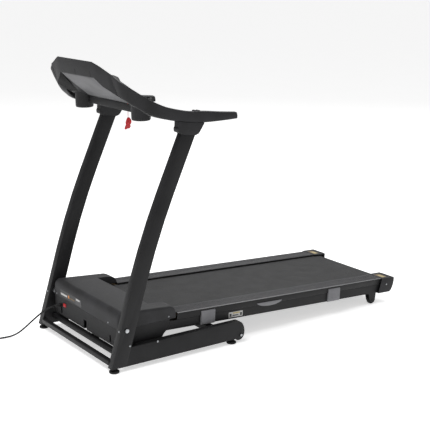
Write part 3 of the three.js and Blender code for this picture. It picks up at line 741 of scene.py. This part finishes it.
def makeHood(size):
    m, wall, half, (low, floorTo) = finishes["hood"], size["wall"], size["half"], size["upperOpen"]
    outline = softOutline(size["upper"], size["upperRadii"])
    deep = [Vector((p.x, p.y if p.y > low else floorTo)) for p in insetOutline(outline, wall)]
    hood = cutFlat(bowedBody("hoodCoverShape", outline, -half, half, (size["round"],) * 2, m),
                   size["split"], True)
    bowTop(hood, size)
    end, soft = half - wall, size["round"] - wall
    middle = [Vector((min(p.x, size["curtain"]), p.y)) for p in deep]
    carved(hood, bowedBody("room", middle, -size["room"], size["room"], (0, 0), m))
    carved(hood, bowedBody("earRoom", deep, size["ribOut"], end, (0, soft), m))
    carved(hood, bowedBody("earRoom", deep, -end, -size["ribOut"], (soft, 0), m))
    for name, box in size["upperCuts"].items():
        carved(hood, block(name, *box, m))
    pivot = size["pivot"]
    for x in (pivot["x"], -pivot["x"]):
        place = at(x, pivot["y"], pivot["z"])
        carved(hood, turnedPiece("pivotHole", pivot["profile"], place, (1, 0, 0), m, 24))
    rounded(hood, 0.6, 2, 50)
    return placed(shaded(hood, 32), "deck", "hood_plastic", "hood_cover")


def makeTray(size):
    m, wall, half, (high, roofTo) = finishes["tray"], size["wall"], size["half"], size["lowerOpen"]
    outline = softOutline(size["lower"], size["lowerRadii"])
    within = [Vector((p.x, p.y if p.y < high else roofTo))
              for p in insetOutline([Vector(p) for p in size["lower"]], wall)]
    tray = cutFlat(bowedBody("motorTrayShape", outline, -half, half, (size["round"],) * 2, m),
                   size["split"] - size["gap"], False)
    end = half - wall
    carved(tray, bowedBody("room", within, -end, end, (0, 0), m))
    for name, box in size["lowerCuts"].items():
        carved(tray, block(name, *box, m))
    hole = size["cordHole"]
    place = at(hole["x"], hole["y"], hole["z"])
    carved(tray, turnedPiece("cordHole", hole["profile"], place, (0, 1, 0), m, 24))
    carved(tray, block("frameWay", *size["frameWay"], m))
    return placed(shaded(tray, 32), "deck", "trim_plastic", "motor_tray")


makeHood(motorHood)
makeTray(motorHood)
print("hood and tray")

# Console underside panel, paler than the rim around it
underPanel = dict(outline=[(-128, 41, 1085.4), (128, 41, 1085.4), (150, 72, 1062.9), (196, 150, 1006.2),
                           (199, 178, 985.8), (182, 180.5, 984), (-182, 180.5, 984), (-199, 178, 985.8),
                           (-196, 150, 1006.2), (-150, 72, 1062.9)],
                  outward=(0, -0.5879, -0.8089), thick=3.4, proud=1.4, round=1.2, cupWay=39)


def makeUnderPanel(size):
    down = Vector(size["outward"])
    outer = [at(*p) + down * size["proud"] / 1000 for p in size["outline"]]
    inner = [p - down * size["thick"] / 1000 for p in outer]
    panel = rounded(lofted("consoleUnderPanel", [inner, outer], finishes["shell"]), size["round"], 2)
    for x in (cupHolder["x"], -cupHolder["x"]):
        carved(panel, turnedPiece("cupWay", [(size["cupWay"], 0), (size["cupWay"], 200)],
                                  at(x, cupHolder["y"], 900), (0, 0, 1), finishes["shell"], 40))
    return placed(shaded(panel), "base", "console_plastic")


makeUnderPanel(underPanel)

# Dark plates of painted shadow on both sides, standing for the shade in the recess between the panel and the
# rim
sideRecessShadow = dict(
    rim=[(137, 38, 1087.5), (156, 44.4, 1073), (176, 50, 1060), (194, 56, 1052.4), (211, 62, 1045),
         (234, 75, 1031)],
    foot=[(137, 184.5, 981), (156, 184.5, 980.5), (176, 184.5, 980), (194, 185, 976), (211, 185, 972),
          (234, 186, 963)],
    start=0.015, reach=[0.03, 0.24, 0.46, 0.66, 0.6, 0.5], proud=0.9, thick=1.6)


def makeRecessShadow(side, size):
    sign, rings = (1 if side == "left" else -1), []
    for rim, foot, reach in zip(size["rim"], size["foot"], size["reach"]):
        near, far = at(sign * rim[0], *rim[1:]), at(sign * foot[0], *foot[1:])
        along = far - near
        out = Vector((0, along.z, -along.y)).normalized() / 1000
        a, b = near + along * size["start"], near + along * (size["start"] + reach)
        rings.append([a + out * size["proud"], b + out * size["proud"],
                      b - out * size["thick"], a - out * size["thick"]])
    return placed(shaded(lofted("underRecess_" + side, rings, finishes["recess"])), "base", "trim_plastic")


for side in ("left", "right"):
    makeRecessShadow(side, sideRecessShadow)

# Two latch slots in the lower edge of the console's front wall, drawn as black plates: painted shade in the
# slots
slotShadePlan = dict(x=(-12, 108), width=4.2, z=(1087.5, 1108), depth=(3, -0.35),
                  wall=dict(y=38, z=1087.5, lean=0.1487))
for number, x in enumerate(slotShadePlan["x"]):
    (low, high), width, wall = slotShadePlan["z"], slotShadePlan["width"], slotShadePlan["wall"]
    rings = []
    for depth in slotShadePlan["depth"]:  # behind the wall's face and before it
        rings.append([at(x + a, wall["y"] - (b - wall["z"]) * wall["lean"] + depth, b)
                      for a, b in ((0, low), (width, low), (width, high), (0, high))])
    slot = rounded(lofted("latchSlot_%d" % number, rings, finishes["rubber"]), 0.3, 1)
    placed(shaded(slot), "base", "trim_plastic")


# Bolts and screws, set out by Geometry Nodes
def boltHead(material):
    # a low dome with a hexagon recess, 1 m in radius and 1 m high, made to be scaled
    hexagon = 0.28
    rings = [(0.0, 0.45), (hexagon, 0.45), (hexagon, 1.0), (0.45, 0.96), (0.7, 0.8), (0.9, 0.52), (1.0, 0.2),
             (1.0, 0.0)]
    points, faces, sides = [], [], 24
    for radius, height in rings:
        for i in range(sides):
            turn = 2 * math.pi * i / sides
            pull = radius
            if radius == hexagon:  # six flats
                pull = hexagon / math.cos((turn + math.pi / 6) % (math.pi / 3) - math.pi / 6)
            points.append(Vector((pull * math.cos(turn), pull * math.sin(turn), height)))
    for r in range(len(rings) - 1):
        for i in range(sides):
            a, b = r * sides + i, r * sides + (i + 1) % sides
            faces.append([a, b, b + sides, a + sides])
    faces.append([(len(rings) - 1) * sides + i for i in range(sides)])
    head = meshFrom("boltHead", points, faces, material)
    return shaded(head, 40)


def treeWith(name, *sockets):  # sockets are (name, kind, default)
    tree = bpy.data.node_groups.new(name, "GeometryNodeTree")
    tree.interface.new_socket("Geometry", in_out="INPUT", socket_type="NodeSocketGeometry")
    for label, kind, default in sockets:
        socket = tree.interface.new_socket(label, in_out="INPUT", socket_type=kind)
        if default is not None:
            socket.default_value = default
    tree.interface.new_socket("Geometry", in_out="OUTPUT", socket_type="NodeSocketGeometry")
    return tree, addNode(tree, "NodeGroupInput"), addNode(tree, "NodeGroupOutput")


def grown(piece, tree, **values):  # runs a tree on a piece and keeps plain mesh
    grower = piece.modifiers.new(tree.name, "NODES")
    grower.node_group = tree
    ids = {item.name: item.identifier for item in tree.interface.items_tree if item.in_out == "INPUT"}
    for label, value in values.items():
        grower[ids[label.replace("_", " ")]] = value
    return settled(piece)


def boltTree():
    tree, given, out = treeWith(
        "boltHeads", ("Head", "NodeSocketObject", None), ("Radius", "NodeSocketFloat", 0.006),
        ("Height", "NodeSocketFloat", 0.003), ("Finish", "NodeSocketMaterial", None))
    facing = addNode(tree, "GeometryNodeInputNamedAttribute", data_type="FLOAT_VECTOR", in_Name="facing")
    turn = addNode(tree, "FunctionNodeAlignRotationToVector", [("Vector", facing.outputs[0])], axis="Z")
    head = addNode(tree, "GeometryNodeObjectInfo", [("Object", given.outputs["Head"])])
    size = addNode(tree, "ShaderNodeCombineXYZ",
                   [("X", given.outputs["Radius"]), ("Y", given.outputs["Radius"]),
                    ("Z", given.outputs["Height"])])
    spread = addNode(tree, "GeometryNodeInstanceOnPoints",
                     [("Points", given.outputs["Geometry"]), ("Instance", head.outputs["Geometry"]),
                      ("Rotation", turn.outputs["Rotation"]), ("Scale", size.outputs["Vector"])])
    real = addNode(tree, "GeometryNodeRealizeInstances", [("Geometry", spread.outputs["Instances"])])
    finish = addNode(tree, "GeometryNodeSetMaterial",
                     [("Geometry", real.outputs["Geometry"]), ("Material", given.outputs["Finish"])])
    tree.links.new(finish.outputs["Geometry"], out.inputs["Geometry"])
    return tree


boltHeadShape = boltHead(finishes["steel"])
boltHeads = boltTree()


def boltRow(name, spots, radius, height, body):  # spots are (point, facing)
    mesh, steel = bpy.data.meshes.new(name), finishes["steel"]
    mesh.from_pydata([tuple(p) for p, f in spots], [], [])
    facing = mesh.attributes.new("facing", "FLOAT_VECTOR", "POINT")
    facing.data.foreach_set("vector", [c for p, f in spots for c in f])
    row = newObject(name, mesh, steel)
    grown(row, boltHeads, Head=boltHeadShape, Radius=radius / 1000, Height=height / 1000, Finish=steel)
    if "facing" in row.data.attributes:
        row.data.attributes.remove(row.data.attributes["facing"])
    return placed(shaded(row, 40), body, "bright_steel")


def onSurface(host, point, facing, away=0.08, reach=0.2):
    # where a line that comes in against facing, from away metres off, first meets the piece
    facing, mesh = Vector(facing), host.data
    skin = BVHTree.FromPolygons([v.co for v in mesh.vertices], [f.vertices for f in mesh.polygons])
    spot = skin.ray_cast(point + facing * away, -facing, reach)[0]
    return spot or point


boltPlan = dict(  # host or None, radius, height, place, facing, body
    uprightSide=("upright_%s", 4.6, 2.4, (320, 64, 97), (1, 0, 0), "base"),
    uprightFront=("upright_%s", 4.6, 2.4, (301, 20, 157), (0, -1, 0), "base"),
    tubeSide=("base_side_tube_%s", 4.2, 2.2, (320, 186, 89), (1, 0, 0), "base"),
    axleEnd=(None, 5.4, 0.5, (319.5, 580, 31), (1, 0, 0), "base"),
    earScrew=(None, 3.8, 1.8, (271, 264, 160), (1, 0, 0), "deck"),
    capBolt=("end_cap_%s", 3.8, 1.8, (281, 1420, 84), (1, 0, 0), "deck"))
hoodScrews = dict(x=(-245, 191), y=40, z=159, radius=3.4, height=1.6)
for side, sign in (("left", 1), ("right", -1)):
    for label, (host, radius, height, (x, y, z), facing, body) in boltPlan.items():
        spot, way = at(sign * x, y, z), (facing[0] * sign, facing[1], facing[2])
        if host:
            spot = onSurface(frame["nodes"][host % side], spot, way)
        boltRow("%s_%s" % (label, side), [(spot, way)], radius, height, body)
boltRow("hoodScrews", [(at(x, hoodScrews["y"], hoodScrews["z"]), (0, -1, 0)) for x in hoodScrews["x"]],
        hoodScrews["radius"], hoodScrews["height"], "deck")
bpy.data.objects.remove(boltHeadShape)
print("bolts")

# Deck's side furniture: grey pads, a half-oval trim, a plain label
sidePads = dict(spans=[(416, 482), (1082, 1147)], round=1.1,  # section is [x, z]
                section=[(272.3, -9), (274.8, -9), (277.3, -12), (277.3, -59.6), (273, -66.6), (264, -66.6),
                         (264, -66.2), (267.8, -66), (267.8, -28.5), (272.3, -25)])
sideTrim = dict(span=(693, 825), x=(272.2, 276.5), height=17.0, top=-17.5, round=1.0, steps=20)


def makePads(side):
    sign, pads = (1 if side == "left" else -1), []
    for span in sidePads["spans"]:
        rings = [[onDeck(sign * x, y, z) for x, z in sidePads["section"]] for y in span]
        pads.append(rounded(lofted("pad", rings, finishes["pad"]), sidePads["round"], 2))
    (y0, y1), top = sideTrim["span"], sideTrim["top"]
    outline = [(y0, top), (y1, top)]
    for i in range(1, sideTrim["steps"]):
        part = i / sideTrim["steps"]
        bow = (4 * part * (1 - part)) ** 0.6
        outline.append((y1 + (y0 - y1) * part, top - sideTrim["height"] * bow))
    bar = prism("trim", outline, *sorted(sign * x for x in sideTrim["x"]), finishes["pad"], onDeck)
    pads.append(rounded(bar, sideTrim["round"], 2, 50))
    return placed(shaded(joined("sidePads_" + side, pads)), "deck", "hood_plastic")


# The groove between rail skirt and frame is drawn as a black strip: painted shade.
grooveShade = dict(x=(262, 268.1), z=(-31.6, -24.9), y=(306, 1392))


def makeGrooveShade(side):  # black strip between rail skirt and frame
    sign = 1 if side == "left" else -1
    strip = block("gasket_" + side, *sorted(sign * x for x in grooveShade["x"]), *grooveShade["y"], *grooveShade["z"],
                  finishes["rubber"], onDeck)
    rounded(strip, 0.4, 1)
    return placed(shaded(strip), "deck", "black_rubber")


for side in ("left", "right"):
    makePads(side)
    makeGrooveShade(side)


def sticker(name, corner, alongVector, upVector, width, height, layout, body):
    # a plain printed label: panels of colour, with no lettering, the first 0.25 mm proud and each next one
    # 0.12 mm more; the layout is in parts of the width and height
    normal = alongVector.cross(upVector).normalized()
    sunk, first, step = 0.0001, 0.00025, 0.00012
    for number, (x0, x1, y0, y1, tone) in enumerate(layout):
        lift = first + step * number
        quad = [(x0, y0), (x1, y0), (x1, y1), (x0, y1)]
        flat = [corner + alongVector * (a * width / 1000) + upVector * (b * height / 1000) for a, b in quad]
        rings = [[p - normal * sunk for p in flat], [p + normal * lift for p in flat]]
        piece = lofted("%s_%d" % (name, number), rings, finishes[tone])
        placed(piece, body, "console_plastic")


deckAlong = Vector((0, math.cos(deckFrame["slope"]), -math.sin(deckFrame["slope"])))
deckUp = Vector((0, math.sin(deckFrame["slope"]), math.cos(deckFrame["slope"])))
sticker("sideLabel", onDeck(267.6, 556, -60), deckAlong, deckUp, 70, 22,
        [(0, 1, 0, 1, "pale"), (0.3, 0.8, 0.62, 0.9, "cream"), (0.06, 0.2, 0.14, 0.7, "ink"),
         (0.28, 0.7, 0.2, 0.42, "labelGrey"), (0.82, 0.94, 0.14, 0.7, "ink")], "deck")
capLayout = [(0, 1, 0, 1, "ink"), (0.06, 0.94, 0.1, 0.9, "tan"), (0.06, 0.7, 0.22, 0.78, "cream")]
for label, x in (("capLabelLeft", 268), ("capLabelRight", -204)):
    sticker(label, onDeck(x, 1404, 0), Vector((-1, 0, 0)), -deckAlong, 60, -36, capLayout, "deck")
sticker("hoodLabel", at(-211, 40, 156), Vector((1, 0, 0)), Vector((0, 0, 1)), 186, 30,
        [(0, 1, 0, 1, "hoodInk"), (0.02, 0.32, 0.3, 0.56, "pale"), (0.37, 0.43, 0.3, 0.7, "orange"),
         (0.45, 0.68, 0.34, 0.5, "tan"), (0.72, 0.99, 0.0, 1.0, "labelGrey"),
         (0.75, 0.92, 0.66, 0.9, "pale")], "deck")
print("pads and labels")

# Floor, light and backdrop
floorSize = dict(half=40, below=0.0005)  # metres
floorMesh = bpy.data.meshes.new("floor")
floorMesh.from_pydata([(x * floorSize["half"], y * floorSize["half"], -floorSize["below"])
                       for x, y in ((-1, -1), (1, -1), (1, 1), (-1, 1))], [], [(0, 1, 2, 3)])
floorMaterial, floorTree, floorShader, floorPlace = newMaterial(
    "paleFloor", Roughness=0.9, Emission_Color=linear("#ffffff"), Emission_Strength=0.55)
speck = addNode(floorTree, "ShaderNodeTexNoise", [("Vector", floorPlace)], in_Scale=3)
twoTone(floorTree, floorShader, speck.outputs["Fac"], "#fafafa", "#fcfcfc")
floor = newObject("floor", floorMesh, floorMaterial)

world = bpy.data.worlds.new("studio")
world.use_nodes = True
background = world.node_tree.nodes["Background"]
background.inputs["Color"].default_value = linear("#ffffff")
scene.world = world
seen = addNode(world.node_tree, "ShaderNodeLightPath")  # the backdrop is white, its light is softer
level = addNode(world.node_tree, "ShaderNodeMapRange", [("Value", seen.outputs["Is Camera Ray"])],
                in_To_Min=0.38, in_To_Max=1.0)
world.node_tree.links.new(level.outputs[0], background.inputs["Strength"])
aimPoint = Vector((0, 0, 0.5))
lights = [
    dict(name="key", place=(0.5, -2.5, 4.8), size=2.5, power=125),
    dict(name="fill", place=(4.0, 2.5, 2.5), size=3.0, power=8),
    dict(name="back", place=(-2.5, 2.5, 4.0), size=2.5, power=120),
]
for light in lights:
    lamp = bpy.data.lights.new(light["name"], "AREA")
    lamp.energy, lamp.size = light["power"], light["size"]
    holder = bpy.data.objects.new(light["name"], lamp)
    holder.location = light["place"]
    aim = aimPoint - Vector(light["place"])
    holder.rotation_euler = aim.to_track_quat("-Z", "Y").to_euler()
    scene.collection.objects.link(holder)
scene.view_settings.view_transform = "Standard"
print("stage and light")

bpy.context.view_layer.update()
